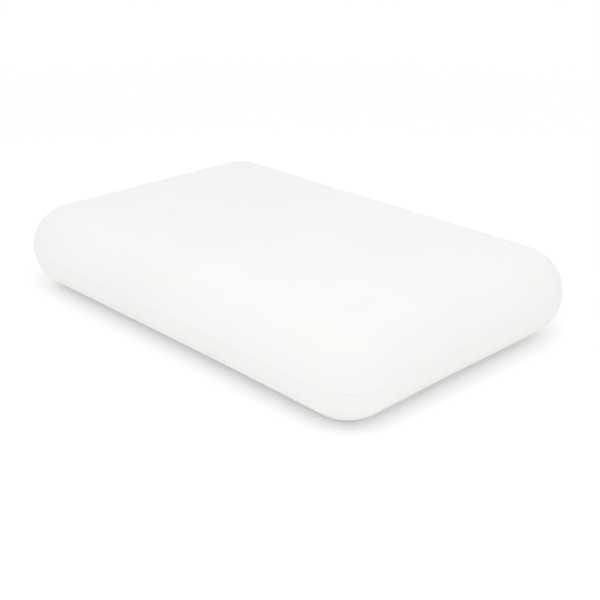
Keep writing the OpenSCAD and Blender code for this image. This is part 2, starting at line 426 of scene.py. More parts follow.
def stitch_groove(s, t, gap):
    """The rows of topstitching pull the knit in beside the zip: a bell curve across each row."""
    return GROOVE * at_zip(s, t, 2 * MM, 4 * MM) * bell(gap - stitch_rise, GROOVE_REACH)


# %% Build the panels
def panel_lines(spacing):
    """The fine grid's lines, closer together near the seam, in the fold and at the zip's ends."""
    edge = np.concatenate([
        np.linspace(0, full_walk - 7 * MM, int(full_walk / spacing) - 2),
        full_walk - np.array([5.0, 4.0, 3.2, 2.5, 1.8, 1.0, 0.4, 0]) * MM,
        full_walk + math.pi * FOLD_RADIUS * np.array([0.25, 0.5, 0.75, 1]),
        full_walk + math.pi * FOLD_RADIUS + np.linspace(0.33, 1, 3) * TURN_BACK,
    ])
    at_end = zip_half + np.linspace(-2.4, 2.4, 7) * MM
    middle = np.linspace(-zip_half + 5 * MM, zip_half - 5 * MM, int(2 * zip_half / spacing))
    beyond = np.linspace(zip_half + 5 * MM, corner_x - 3 * MM, 3)
    s_inner = np.concatenate([-beyond[::-1], -at_end[::-1], middle, at_end, beyond])
    return spread(corner_x, edge, s_inner), spread(corner_y, edge, inner_lines(corner_y, spacing))


def cover_panel(name, direction):
    """One panel of the cover; direction is 1 for the upper and -1 for the lower half."""
    coarse_s, coarse_t = even_lines(COARSE_STEP)
    shift = settled_shift(coarse_s, coarse_t, direction)
    fine_s, fine_t = panel_lines(PANEL_STEP)
    s, t = np.meshgrid(fine_s, fine_t)
    walk, turn = walk_and_turn(s, t)
    real_walk, depth = turned_edge(walk, edge_height(s, t))
    gap = full_walk - real_walk
    off_zip = 1 - at_zip(s, t, 4 * MM, 12 * MM)
    depth = depth - off_zip * seam_ridge(gap) + stitch_groove(s, t, gap) * (walk < full_walk)
    plan = on_block(s, t, np.minimum(walk, full_walk), turn, 0)
    near_girth = smoothstep(0.5 * full_walk, full_walk, walk)
    wandered = real_walk - direction * near_girth * seam_wander(plan[..., 0], plan[..., 1])
    points = on_block(s, t, wandered, turn, depth)
    points += outward(points) * puckers(points, real_walk)[..., None]
    points = half_side(points, direction)
    low, high = LIFT_FADE
    free = 1 - smoothstep(low * full_walk, high * full_walk, walk)
    if direction < 0:
        free = free * smoothstep(FLAT_CORNER, 0.5 * full_walk, walk)
    points += spread_shift(shift, coarse_s, coarse_t, fine_s, fine_t) * free[..., None]
    points[..., 2] = np.maximum(points[..., 2], KNIT_THICKNESS / 2)
    quads = grid_quads(*s.shape)
    panel = mesh_piece(name, points, facing(quads, direction), flat_pattern(s, t, walk, turn))
    thicken(panel, KNIT_THICKNESS)
    print(f"{name}: {len(quads)} faces before thickness")
    return panel


cover_top, cover_bottom = cover_panel("cover_top", 1), cover_panel("cover_bottom", -1)
for panel, node in ((cover_top, "cover_top_panel"), (cover_bottom, "cover_bottom_panel")):
    belongs(panel, "pillow", node)

# %% [markdown]
# ## The girth seam
#
# The seam is a fine cord of knit with a thread wound over it. One profile carried along the girth makes
# the cord. The girth is straight stretches and quarter circles, so a point on it needs only its
# distance along: which stretch it is on, and how far it has turned.

# %% The girth's path and the sweep
girth_radius = FLAT_CORNER + edge_radius


def girth_path(distance, radius, start_x):
    """Plan points and outward directions along the girth, clockwise from start_x on the back.

    Stretches and quarter turns follow each other. A stretch goes along its heading, and a quarter
    turn goes round its centre.
    """
    straights = [corner_x - start_x, 2 * corner_y, 2 * corner_x, 2 * corner_y, corner_x - start_x]
    spans = [straights[0]]
    for stretch in straights[1:]:
        spans += [radius * math.pi / 2, stretch]
    ends = np.cumsum(spans)
    piece = np.clip(np.searchsorted(ends, distance, side="right"), 0, len(spans) - 1)
    along = distance - np.concatenate([[0], ends[:-1]])[piece]
    is_turn = piece % 2 == 1
    quarter_turns = (piece + 1) // 2 - is_turn
    heading = -quarter_turns * math.pi / 2 - np.where(is_turn, along / radius, 0)
    out = side_by_side(-np.sin(heading), np.cos(heading))
    ahead = side_by_side(np.cos(heading), np.sin(heading))
    centres = np.array([[1, 1], [1, -1], [-1, -1], [-1, 1]]) * [corner_x, corner_y]
    starts = np.concatenate([[[start_x, corner_y]], centres])
    base = np.where(is_turn[:, None], centres[np.minimum(quarter_turns, 3)],
                    starts[np.minimum(piece // 2, 4)] + ahead * along[:, None])
    return base + out * radius, out


def girth_length(radius, start_x):
    """The whole length of the girth, less the stretch of the zip."""
    return 2 * (corner_x - start_x) + 4 * corner_y + 2 * corner_x + math.tau * radius


def sweep(centre, across, up, profile, closed=False):
    """A profile carried along a path.

    Each point is the path's point plus the profile's two sizes along the across and up directions.
    """
    across, up = (np.broadcast_to(axis, centre.shape)[:, None] for axis in (across, up))
    points = centre[:, None] + profile[None, :, :1] * across + profile[None, :, 1:] * up
    lengths = (np.linalg.norm(np.diff(line, axis=0), axis=1) for line in (centre, profile))
    gone, around = (np.concatenate([[0], np.cumsum(steps)]) for steps in lengths)
    uv = side_by_side(gone[:, None], around[None, :])
    return points.reshape(-1, 3), tube_faces(len(centre), len(profile), closed), uv.reshape(-1, 2)


def path_axes(centre):
    """Two directions square to a path: its way ahead crossed with X, and with the first of them."""
    ahead = unit(np.gradient(centre, axis=0))
    side = unit(np.cross(ahead, [1.0, 0, 0]))
    return side, np.cross(ahead, side)


def ring_profile(half_across, half_up, sides, power=2.0, shift=0.0):
    """A superellipse: cosine and sine raised to 2 / power, so that a power above 2 squares it."""
    angle = np.arange(sides) * math.tau / sides
    c, s = np.cos(angle), np.sin(angle)
    bend = 2 / power
    return side_by_side(shift + half_across * np.sign(c) * np.abs(c) ** bend,
                     half_up * np.sign(s) * np.abs(s) ** bend)


def copies(shape, origins, axes):
    """A small shape at many places: each copy is its origin plus the shape's sizes along its axes."""
    template, faces, uv = shape
    points = origins[:, None] + np.einsum("pk,nkj->npj", template, axes)
    offset = np.arange(len(origins))[:, None] * len(template)
    all_faces = [copy for face in faces for copy in (offset + np.asarray(face)).tolist()]
    return points.reshape(-1, 3), all_faces, np.tile(uv, (len(origins), 1))


# %% Seam cord and its winding thread
CORD_STEP = 4 * MM
CORD_IN, CORD_PROUD = 0.9 * MM, 0.6 * seam_proud
WIND_PITCH = 2.4 * MM
WIND_THREAD = 0.11 * MM
WIND_PROUD, WIND_HALF = 0.8 * seam_proud, seam_half + 0.45 * MM
WIND_SINK = 0.12 * MM
WIND_REACH, WIND_SLANT, WIND_ROUND = 0.62, 0.33, 0.8


def lift_to_3d(plan, z):
    """Plan points at one height."""
    return np.concatenate([plan, np.full((len(plan), 1), z)], axis=1)


def girth_cord(name, profile, radius, start_x, closed=False):
    """A profile carried along the girth; an open cord wanders with the seam, a closed one is level."""
    total = girth_length(radius, start_x)
    distance = np.linspace(0, total, int(total / CORD_STEP), endpoint=not closed)
    plan, out = girth_path(distance, radius, start_x)
    points, faces, uv = sweep(lift_to_3d(plan, edge_radius), lift_to_3d(out, 0), UP, profile, closed)
    if not closed:
        points[:, 2] += seam_wander(points[:, 0], points[:, 1])
    return mesh_piece(name, points, faces, uv)


def winding(name, radius, start_x):
    """Slanted threads over the cord.

    Each is a tube bent over half an ellipse, and one copy goes to each stitch's place.
    """
    bend = np.linspace(-WIND_REACH * math.pi, WIND_REACH * math.pi, 9)
    arch = side_by_side(WIND_SLANT * WIND_PITCH * bend / bend[-1], WIND_PROUD * np.cos(bend * WIND_ROUND),
                     WIND_HALF * np.sin(bend * WIND_ROUND))
    distance = np.arange(WIND_PITCH, girth_length(radius, start_x) - WIND_PITCH, WIND_PITCH)
    plan, out = girth_path(distance, radius, start_x)
    out = lift_to_3d(out, 0)
    places = lift_to_3d(plan, edge_radius)
    places[:, 2] += seam_wander(plan[:, 0], plan[:, 1])
    axes = np.stack(np.broadcast_arrays(np.cross(out, UP), out, UP), axis=1)
    print(f"{name}: {len(distance)} stitches")
    thread = sweep(arch, *path_axes(arch), ring_profile(WIND_THREAD, WIND_THREAD, 6))
    return mesh_piece(name, *copies(thread, places, axes))


cord_profile = ring_profile((CORD_PROUD + CORD_IN) / 2, 1.25 * seam_half, 14, 2.6, (CORD_PROUD - CORD_IN) / 2)
seam_cord = girth_cord("seam_cord", cord_profile, girth_radius + RIDGE, zip_half)
belongs(seam_cord, "pillow", "cover_girth_seam")
seam_thread = winding("seam_thread", girth_radius + RIDGE - WIND_SINK, zip_half)
belongs(seam_thread, "pillow")
print(f"girth seam: {girth_length(girth_radius, zip_half):.3f} m")

# %% [markdown]
# ## The foam block and its liner
#
# None of these shows while the cover is closed, but they are what makes the pillow. The core is the
# same surface as the cover, set deeper, with its two halves joined at the girth. The liner is two
# jersey shells and an overlocked seam.

# %% Foam core and liner
HIDDEN_STEP = 7 * MM
LINER_THICKNESS = 0.45 * MM
liner_middle = liner_depth + LINER_THICKNESS / 2


def half_shell(depth, direction, stop):
    """One half of the block at a depth, down to a stop above the girth, as points, faces and uv."""
    s, t = np.meshgrid(*even_lines(HIDDEN_STEP))
    walk, turn = walk_and_turn(s, t)
    real_walk = walk - stop * smoothstep(0.8 * full_walk, full_walk, walk)
    points = half_side(on_block(s, t, real_walk, turn, depth), direction)
    return points, facing(grid_quads(*s.shape), direction), flat_pattern(s, t, walk, turn)


foam = mesh_piece("foam_block", *joined([half_shell(core_depth, 1, 0), half_shell(core_depth, -1, 0)]))
weld(foam)
belongs(foam, "pillow", "foam_core")

liners = []
for half, direction in (("top", 1), ("bottom", -1)):
    liner = mesh_piece(f"liner_{half}_jersey", *half_shell(liner_middle, direction, seam_half))
    thicken(liner, LINER_THICKNESS)
    liners.append(belongs(liner, "pillow", f"liner_{half}"))

overlock_profile = ring_profile(0.24 * MM, seam_half, 12, 2.4)
overlock = girth_cord("liner_overlock", overlock_profile, girth_radius - liner_middle, 0, closed=True)
belongs(overlock, "pillow", "liner_seam")

# %% [markdown]
# ## The zip's tapes and coils
#
# Each tape is a narrow woven strip that follows the round edge behind the cover. The coil on its edge
# is one nylon wire wound into flat loops, with a row of thread that sews it down. The loops of the two
# coils lie half a pitch apart, so that they interlock. Near the closed end they part round the post
# of the slider.

# %% Tapes
tape_low, tape_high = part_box("zip_tape_upper")
tape_half_length = tape_high.x
tape_near, tape_far = tape_low.z - edge_radius, tape_high.z - edge_radius
tape_depth = back_y - tape_high.y
TAPE_THICKNESS = 0.5 * MM
TAPE_GAP = 0.02 * MM
BOTH_SIDES = (("upper", 1), ("lower", -1))


def at_back(x, rise, depth):
    """A point on the back's round edge: x along the zip, its rise above the girth and its depth."""
    angle = np.arcsin(rise / edge_radius)
    y = corner_y + FLAT_CORNER + (edge_radius - depth) * np.cos(angle)
    z = edge_radius + (edge_radius - depth) * np.sin(angle)
    return side_by_side(x, y, z)


tape_x, tape_rise = np.meshgrid(np.linspace(-tape_half_length, tape_half_length, 120),
                                np.linspace(tape_near, tape_far, 12))
tapes = []
for where, side in BOTH_SIDES:
    points = at_back(tape_x, side * tape_rise, tape_depth + TAPE_THICKNESS / 2 + TAPE_GAP)
    tape_quads = facing(grid_quads(*tape_x.shape), -side)
    tape = mesh_piece(f"tape_{where}", points, tape_quads, side_by_side(tape_x, tape_rise))
    thicken(tape, TAPE_THICKNESS)
    tapes.append(belongs(tape, "pillow", f"zip_tape_{where}"))

# %% Coils and the thread that holds them
coil_low, coil_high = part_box("zip_coil_upper")
coil_start, coil_end = coil_low.x, coil_high.x
coil_out = coil_high.y - back_y
chain_half = coil_high.z - edge_radius
slider_centre, slider_half = box_of("zip_slider_body")
slider_x = float(slider_centre[0])
WIRE = 0.31 * MM
COIL_PITCH = 1.42 * MM
COIL_OVERLAP = 0.3 * MM
LOOP_POINTS = 14
POST_GAP = 0.55 * MM
ROW_RISES = (1.35 * MM, 2.15 * MM)
ROW_DIP, ROW_LIFT = 0.16 * MM, 0.02 * MM


def chain_part(x):
    """How far each coil moves off the middle: nothing along the closed chain, a little past the post."""
    return POST_GAP * smoothstep(slider_x - 1 * MM, slider_x + 3 * MM, x)


def zip_coil(name, side):
    """A helix squeezed flat.

    Along the chain it advances one pitch a turn, across it swings by a cosine and out by a sine.
    """
    turns = (coil_end - coil_start - COIL_PITCH) / COIL_PITCH
    phase = np.arange(int(turns * LOOP_POINTS)) * math.tau / LOOP_POINTS
    x = coil_start + WIRE + COIL_PITCH * (phase / math.tau + (0.5 if side < 0 else 0))
    head, root = -COIL_OVERLAP, chain_half - WIRE
    rise = side * ((head + root) / 2 - (root - head) / 2 * np.cos(phase) + chain_part(x))
    inner, outer = -tape_depth + WIRE, coil_out - WIRE
    out = back_y + (inner + outer) / 2 + (outer - inner) / 2 * np.sin(phase)
    centre = side_by_side(x, out, edge_radius + rise)
    points, faces, uv = sweep(centre, *path_axes(centre), ring_profile(WIRE, WIRE, 6))
    print(f"{name}: {turns:.0f} loops, {len(faces)} faces")
    return mesh_piece(name, points, faces, uv)


def coil_stitching(name, side):
    """Two threads along a coil that dip between its loops by a cosine with the loops' pitch."""
    x = np.arange(coil_start + COIL_PITCH, coil_end - COIL_PITCH, COIL_PITCH / 6)
    half_turn = 0 if side < 0 else math.pi
    dip = ROW_DIP * np.cos(math.tau * (x - coil_start - WIRE) / COIL_PITCH + half_turn)
    rows = []
    for rise in ROW_RISES:
        centre = side_by_side(x, back_y + coil_out + ROW_LIFT + dip * 0.5,
                           edge_radius + side * (rise + chain_part(x)))
        rows.append(sweep(centre, OUT, UP, ring_profile(0.12 * MM, 0.17 * MM, 6)))
    return mesh_piece(name, *joined(rows))


coils, coil_threads = [], []
for where, side in BOTH_SIDES:
    coils.append(belongs(zip_coil(f"coil_{where}", side), "pillow", f"zip_coil_{where}"))
    coil_threads.append(belongs(coil_stitching(f"coil_thread_{where}", side), "pillow"))

# %% [markdown]
# ## Stops, topstitching and bartacks
#
# The metal stops are small blocks whose edges the crimping tool has rounded. A superellipsoid is such a
# block, and one formula gives all of them. Topstitches and bartacks are threads that dive into the knit
# at both ends, so each is a short tube with its ends sunk below the surface.

# %% Metal stops
def crimped_stop(centre, half, groove, squareness=5.0, rings=20, sides=32):
    """A superellipsoid: a ball whose sines and cosines are raised to 2 / squareness.

    A bell curve along X presses the crimping tool's groove into its outer face.
    """
    tilt = np.linspace(-0.4999 * math.pi, 0.4999 * math.pi, rings)[:, None]
    turn = (np.arange(sides) * math.tau / sides)[None, :]
    waves = (np.cos(tilt), np.sin(tilt), np.cos(turn), np.sin(turn))
    lean, climb, ahead, across = (np.sign(wave) * np.abs(wave) ** (2 / squareness) for wave in waves)
    x, y, z = np.broadcast_arrays(half[0] * lean * ahead, half[1] * climb, half[2] * lean * across)
    y = y - groove * bell(x, 0.3 * half[0]) * smoothstep(0, half[1], y)
    points = side_by_side(x, y, z) + centre
    uv = side_by_side(turn / math.tau, tilt / math.pi)
    return points.reshape(-1, 3), tube_faces(rings, sides, inside_out=True), uv.reshape(-1, 2)


bottom_stop = mesh_piece("bottom_stop", *crimped_stop(*box_of("zip_bottom_stop"), 0.35 * MM, 6.0, 24, 40))
belongs(bottom_stop, "pillow", "zip_bottom_stop")

STOP_GAP = 0.6 * MM
pair_centre, pair_half = box_of("zip_top_stops")
clamp_half = np.array([pair_half[0], pair_half[1], (pair_half[2] - STOP_GAP) / 2])
clamp_shift = UP * (STOP_GAP + clamp_half[2])
clamps = [crimped_stop(pair_centre + side * clamp_shift, clamp_half, 0.25 * MM) for side in (-1, 1)]
top_stops = mesh_piece("top_stops", *joined(clamps))
belongs(top_stops, "pillow", "zip_top_stops")
print(f"top stops: {2 * clamp_half[0] / MM:.1f} mm long")

# %% Topstitching and bartacks
STITCH_PITCH, STITCH_LENGTH, STITCH_THREAD, STITCH_RISE = 2.9 * MM, 2.35 * MM, 0.25 * MM, 0.16 * MM
TACK_PITCH, TACK_LENGTH, TACK_THREAD, TACK_RISE = 0.5 * MM, 2.6 * MM, 0.27 * MM, 0.3 * MM
TACK_SWELL = 1.6 * MM
DIVE = 1.9


def sunk_stitch(stitch_length, thread, rise):
    """One stitch along X, a tube on a flat arch whose ends dive below the surface by a fourth power."""
    along = np.linspace(-1, 1, 9)
    centre = side_by_side(along * stitch_length / 2, rise * (1 - DIVE * along**4), 0 * along)
    return sweep(centre, OUT, UP, ring_profile(thread, thread, 7))


def sewn_at_back(name, stitch, x, rise, depth, node):
    """Copies of a stitch on the back's round edge, each along X, straight out, and up along the edge."""
    angle = np.arcsin(rise / edge_radius)
    zero = np.zeros_like(angle)
    along = side_by_side(zero + 1, zero, zero)
    out = side_by_side(zero, np.cos(angle), np.sin(angle))
    up = side_by_side(zero, -np.sin(angle), np.cos(angle))
    places = at_back(x, rise, depth)
    piece = mesh_piece(name, *copies(stitch, places, np.stack([along, out, up], axis=1)))
    return belongs(piece, "pillow", node)


stitch_x = np.arange(-zip_half + STITCH_PITCH / 2, zip_half, STITCH_PITCH)
rows_x = np.tile(stitch_x, 2)
rows_rise = np.repeat([stitch_rise, -stitch_rise], len(stitch_x))
stitch = sunk_stitch(STITCH_LENGTH, STITCH_THREAD, STITCH_RISE)
topstitch = sewn_at_back("topstitches", stitch, rows_x, rows_rise, 0.85 * GROOVE, "zip_topstitch")

tack_half = box_of("zip_bartacks")[1]
tack_rises = np.arange(-tack_half[2], tack_half[2] + 0.1 * MM, TACK_PITCH)
tack_rows = np.tile(tack_rises, 2)
tack_x = np.repeat([1 * MM - tack_half[0], tack_half[0] - 1 * MM], len(tack_rises))
over_seam = seam_proud * bell(tack_rows, TACK_SWELL)
tack = sunk_stitch(TACK_LENGTH, TACK_THREAD, TACK_RISE)
bartacks = sewn_at_back("bartack_threads", tack, tack_x, tack_rows, -over_seam, "zip_bartacks")
print(f"{len(stitch_x)} topstitches in each row, {len(tack_rises)} threads in each bartack")

# %% [markdown]
# ## The care label
#
# The label is a satin ribbon folded in half, with both ends caught in the seam, and it is blank. Satin
# is light and springy: it hangs down from the seam, bows out a little and lifts at its corners. The
# surface is the ribbon's own path, down the front, round the fold and up the back, carried across its
# width with a soft wave.

# %% Label
RIBBON_THICKNESS = 0.14 * MM
RIBBON_FOLD = 0.42 * MM
BOW, CURL, WAVE = 1.1 * MM, 2.6 * MM, 0.5 * MM
label_centre, label_half = box_of("care_label")
label_drop = edge_radius - (label_centre[2] - label_half[2])
label_top = edge_radius - 0.1 * MM
round_fold = math.pi * RIBBON_FOLD
down = np.linspace(0, label_drop, 26)
turning = label_drop + round_fold * np.linspace(0.15, 0.85, 5)
ribbon_lines = np.concatenate([down, turning, label_drop + round_fold + down])


def ribbon(along, across):
    """The ribbon's path: the drop grows, turns back at the fold and shrinks.

    The bow out is a sine of the drop, the curl a square of it, and a wave runs across the width.
    """
    past = np.maximum(along - label_drop, 0)
    fold_angle = np.minimum(past / RIBBON_FOLD, math.pi)
    back = np.maximum(past - round_fold, 0)
    drop = np.minimum(along, label_drop) + RIBBON_FOLD * np.sin(fold_angle) - back
    share = drop / label_drop
    side = across / label_half[1]
    gap = RIBBON_FOLD * np.cos(fold_angle) * smoothstep(0.02, 0.3, share)
    bow = BOW * np.sin(math.pi * np.clip(share, 0, 1) * 0.8)
    curl = CURL * share**2 * (0.55 + 0.25 * side + 0.35 * side**2)
    wave = WAVE * share * np.sin(2.3 * side + 0.6)
    x = -length / 2 - RIDGE - 0.3 * seam_proud - gap - bow - curl - wave
    z = label_top - drop + 0.03 * drop * side
    return side_by_side(x, label_centre[1] + across * (1 - 0.012 * share), z)


across_ribbon, along_ribbon = np.meshgrid(np.linspace(-label_half[1], label_half[1], 17), ribbon_lines)
ribbon_quads = grid_quads(*along_ribbon.shape)
ribbon_uv = side_by_side(across_ribbon, along_ribbon)
label = mesh_piece("care_ribbon", ribbon(along_ribbon, across_ribbon), ribbon_quads, ribbon_uv)
thicken(label, RIBBON_THICKNESS)
belongs(label, "pillow", "care_label")

# %% [markdown]
# ## The slider
#
# A slider is cast in one piece: two plates above and below the chain, a post between the coils, side
# walls that keep the coils in, and a bridge for the pull tab. The plates are superellipses in plan that
# widen towards the nose. Their rims are rounded by rings that draw in as they rise.

# %% Slider pieces
PLATE = 0.8 * MM
PLATE_RIM = 0.3 * MM
WALL_GAP = 0.3 * MM
POST_HALVES = 1.75 * MM, 0.4 * MM
BRIDGE_HALF, BRIDGE_BAR, BRIDGE_SINK = 3.5 * MM, 0.5 * MM, 0.3 * MM
top_inner = coil_out + 0.3 * MM
top_outer = top_inner + PLATE
bottom_inner = -tape_depth - TAPE_THICKNESS - 0.45 * MM
bridge_top = slider_centre[1] + slider_half[1] - back_y


def plan_outline(half_length, half_width, taper, squareness, sides=56):
    """A superellipse in X and Z whose width grows by the taper from tail to nose."""
    outline = ring_profile(half_length, half_width, sides, squareness)
    outline[:, 1] *= 1 + taper * (outline[:, 0] / half_length - 1) / 2
    return outline


def rounded_plate(outline, inner, outer, rim, x_shift=0.0):
    """A plate between two distances out; its rings draw in by the rim times one minus a cosine."""
    bend = np.linspace(0, math.pi / 2, 5)
    draw = np.concatenate([rim * (1 - np.sin(bend)), rim * (1 - np.cos(bend))])
    out = np.concatenate([inner + rim * (1 - np.cos(bend)), outer - rim * (1 - np.sin(bend))])
    scale = 1 - draw[:, None] / np.linalg.norm(outline, axis=1)[None, :]
    x, z = outline[None, :, 0] * scale, outline[None, :, 1] * scale
    points = side_by_side(x + x_shift, out[:, None], z)
    uv = side_by_side(x, z)
    return points.reshape(-1, 3), tube_faces(*x.shape, inside_out=True), uv.reshape(-1, 2)


def side_wall(side):
    """A wall along the plate's side: a squared profile carried along a line that follows the taper."""
    x = np.linspace(-slider_half[0] + 1.5 * MM, slider_half[0] - 3.2 * MM, 14)
    wall_in, wall_out = -tape_depth + 0.45 * MM, top_outer - 0.25 * MM
    z = side * (chain_half + WALL_GAP + PLATE / 2 - 0.03 * MM + 0.1 * MM * (x / slider_half[0]))
    centre = side_by_side(x, (wall_in + wall_out) / 2, z)
    return sweep(centre, OUT, UP, ring_profile((wall_out - wall_in) / 2, PLATE / 2, 16, 4.5))


def slider_bridge():
    """A bar with a squared profile bent over half a superellipse along X."""
    bend = np.linspace(0, math.pi, 29)
    c, s = np.cos(bend), np.sin(bend)
    foot = top_outer - BRIDGE_SINK
    rise = bridge_top - BRIDGE_BAR - foot
    centre = np.stack([-BRIDGE_HALF * np.sign(c) * np.abs(c) ** 0.5, foot + rise * np.abs(s) ** 0.5, 0 * c],
                      axis=-1)
    ahead = unit(np.gradient(centre, axis=0))
    return sweep(centre, np.cross(UP, ahead), UP, ring_profile(BRIDGE_BAR, 1.1 * MM, 18, 4.0))


plate_outline = plan_outline(slider_half[0], slider_half[2], 0.1, 3.6)
post_outline = plan_outline(*POST_HALVES, 0, 2.6, 28)
post_x = slider_half[0] - 3.35 * MM
slider_points, slider_faces, slider_uv = joined([
    rounded_plate(plate_outline, top_inner, top_outer, PLATE_RIM),
    rounded_plate(plate_outline, bottom_inner - PLATE, bottom_inner, PLATE_RIM),
    rounded_plate(post_outline, bottom_inner - 0.2 * MM, top_inner + 0.2 * MM, 0.02 * MM, post_x),
    side_wall(1), side_wall(-1), slider_bridge(),
])
slider_points = slider_points + np.array([slider_x, back_y, edge_radius])
slider = mesh_piece("slider", slider_points, slider_faces, slider_uv)
belongs(slider, "zip_slider", "zip_slider_body")
print(f"slider: {len(slider_faces)} faces")

# %% [markdown]
# ## The pull tab
#
# The tab is a stamped plate with a window for the bridge and a small hole near its tip. Each half of it
# is a strip between an inner outline, which is the window, the hole or the middle line, and an outer
# outline. Both are heights over the distance from the pivot, so the strip is one grid.

# %% Tab
WINDOW_LENGTH = 5.5 * MM
WINDOW_HALF = 1.6 * MM
HOLE_RADIUS = 1.5 * MM
WAIST, WAIST_AT, WAIST_REACH = 0.55 * MM, 11 * MM, 4 * MM
TAB_RIM = 0.38 * MM
tab_centre, tab_half = box_of("zip_pull_tab")
tab_thickness = 2 * tab_half[1]
tab_reach = 2 * tab_half[0] - tab_thickness / 2
tab_corner = tab_half[2]
hole_at = tab_reach - 1.15 * tab_corner
pivot = np.array([slider_x, tab_centre[1], edge_radius])


def tab_outlines(d):
    """Inner and outer half widths at a distance from the pivot.

    Circles give the hole and the tip. The window is squared, and the sides draw in at the waist.
    """
    past_corner = np.maximum(d - (tab_reach - tab_corner), 0)
    round_tip = np.sqrt(np.clip(tab_corner**2 - past_corner**2, 0, None))
    hole = np.sqrt(np.clip(HOLE_RADIUS**2 - (d - hole_at) ** 2, 0, None))
    middle = (WINDOW_LENGTH + tab_thickness / 2) / 2
    reach = (WINDOW_LENGTH - tab_thickness / 2) / 2
    window = WINDOW_HALF * np.clip(1 - (np.abs(d - middle) / reach) ** 8, 0, None) ** 0.125
    sides = tab_corner - WAIST * bell(d - WAIST_AT, WAIST_REACH)
    return np.maximum(hole, window), np.minimum(round_tip, sides)


def eased(low, high, count):
    """Stations from low to high that crowd at both ends, where round outlines turn fastest."""
    return low + (high - low) * (1 - np.cos(np.linspace(0, math.pi, count))) / 2


stations = np.unique(np.round(np.concatenate([
    [0], eased(tab_thickness / 2, WINDOW_LENGTH, 25), eased(WINDOW_LENGTH, hole_at - HOLE_RADIUS, 12),
    eased(hole_at - HOLE_RADIUS, hole_at + HOLE_RADIUS, 19), eased(hole_at + HOLE_RADIUS, tab_reach, 15),
]), 7))
inner_half, outer_half = tab_outlines(stations)
half_width = inner_half + np.linspace(0, 1, 7)[:, None] * (outer_half - inner_half)
tab_parts = []
for side in (1, -1):
    grid = side_by_side(-stations[None, :], 0.0, side * half_width)
    tab_parts.append((grid, facing(grid_quads(*half_width.shape), -side), grid[..., [0, 2]]))
tab_points, tab_faces, tab_uv = joined(tab_parts)
tab = mesh_piece("pull_tab_plate", tab_points + pivot, tab_faces, tab_uv)
weld(tab, 2e-6)
thicken(tab, tab_thickness)
rim = tab.modifiers.new("Rim", "BEVEL")
rim.width = TAB_RIM
rim.segments = 4
rim.limit_method = "ANGLE"
rim.angle_limit = math.radians(50)
belongs(tab, "pull_tab", "zip_pull_tab")
print(f"pull tab: {tab_reach / MM:.1f} mm from the pivot to its tip")

# %% [markdown]
# ## Finishes
#
# All the textiles are white, so what tells them apart is structure: loops on the knit, ribs on the
# jersey, a herringbone on the tapes, twisted ply on the thread and long floats on the satin. Each one
# is a height worked out from the cloth's own coordinates in metres, and a Bump node turns it into light
# and shade. On the knit, the thread, the tapes and the satin the same height also paints shade into the
# base colour, darker in the grooves and lighter on the crests. A number that is the same all over is set
# on the shader itself.

# %% Node helpers
def new_material(name, color, roughness, **sockets):
    """A Principled material with constant values, its node tree and its shader."""
    material = bpy.data.materials.new(name)
    material.use_nodes = True
    shader = material.node_tree.nodes["Principled BSDF"]
    shader.inputs["Base Color"].default_value = (*color, 1)
    shader.inputs["Roughness"].default_value = roughness
    for socket, value in sockets.items():
        shader.inputs[socket.replace("_", " ")].default_value = value
    return material, material.node_tree, shader


def new_node(tree, kind, **values):
    """A node with constant values on its named sockets."""
    node = tree.nodes.new(kind)
    for socket, value in values.items():
        node.inputs[socket.replace("_", " ")].default_value = value
    return node


def math_node(tree, operation, first, second=None):
    """A Math node on two values or sockets, and its result."""
    node = tree.nodes.new("ShaderNodeMath")
    node.operation = operation
    for index, value in enumerate((first, second)):
        if isinstance(value, bpy.types.NodeSocket):
            tree.links.new(value, node.inputs[index])
        elif value is not None:
            node.inputs[index].default_value = value
    return node.outputs[0]


def plus(tree, first, second, share=1.0):
    """The first value plus a share of the second."""
    return math_node(tree, "ADD", first, math_node(tree, "MULTIPLY", second, share))


def ripple(tree, value, pitch, kind="SINE"):
    """A sine or cosine of a length, which comes back once in each pitch."""
    return math_node(tree, kind, math_node(tree, "MULTIPLY", value, math.tau / pitch))


def cloth_coordinates(tree):
    """The two coordinates of the piece's own flat pattern, in metres."""
    uv = tree.nodes.new("ShaderNodeUVMap")
    uv.uv_map = "UVMap"
    split = tree.nodes.new("ShaderNodeSeparateXYZ")
    tree.links.new(uv.outputs[0], split.inputs[0])
    return split.outputs[0], split.outputs[1]


def over_object(tree, kind, **values):
    """A texture node over the piece's Object coordinates."""
    place = tree.nodes.new("ShaderNodeTexCoord")
    node = new_node(tree, kind, **values)
    tree.links.new(place.outputs["Object"], node.inputs["Vector"])
    return node


def noise(tree, scale, detail=2.0, roughness=0.5):
    """A noise value over the piece's Object coordinates."""
    return over_object(tree, "ShaderNodeTexNoise", Scale=scale, Detail=detail, Roughness=roughness).outputs[0]


def ramp(tree, value, from_values, to_values):
    """A value that runs from one pair of ends to another in a straight line."""
    node = new_node(tree, "ShaderNodeMapRange", From_Min=from_values[0], From_Max=from_values[1],
                    To_Min=to_values[0], To_Max=to_values[1])
    tree.links.new(value, node.inputs["Value"])
    return node.outputs[0]


def tint(tree, shader, factor, low, high, color_a, color_b):
    """Base colour that runs from one colour to the other as the factor goes from low to high."""
    mix = tree.nodes.new("ShaderNodeMix")
    mix.data_type = "RGBA"
    mix.inputs["A"].default_value = (*color_a, 1)
    mix.inputs["B"].default_value = (*color_b, 1)
    tree.links.new(ramp(tree, factor, (low, high), (0, 1)), mix.inputs["Factor"])
    tree.links.new(mix.outputs["Result"], shader.inputs["Base Color"])


def bump(tree, shader, *heights):
    """One Bump node for each (height, strength, depth), chained from coarse to fine."""
    normal = None
    for height_socket, strength, depth in heights:
        node = new_node(tree, "ShaderNodeBump", Strength=strength, Distance=depth)
        tree.links.new(height_socket, node.inputs["Height"])
        if normal is not None:
            tree.links.new(normal, node.inputs["Normal"])
        normal = node.outputs[0]
    tree.links.new(normal, shader.inputs["Normal"])


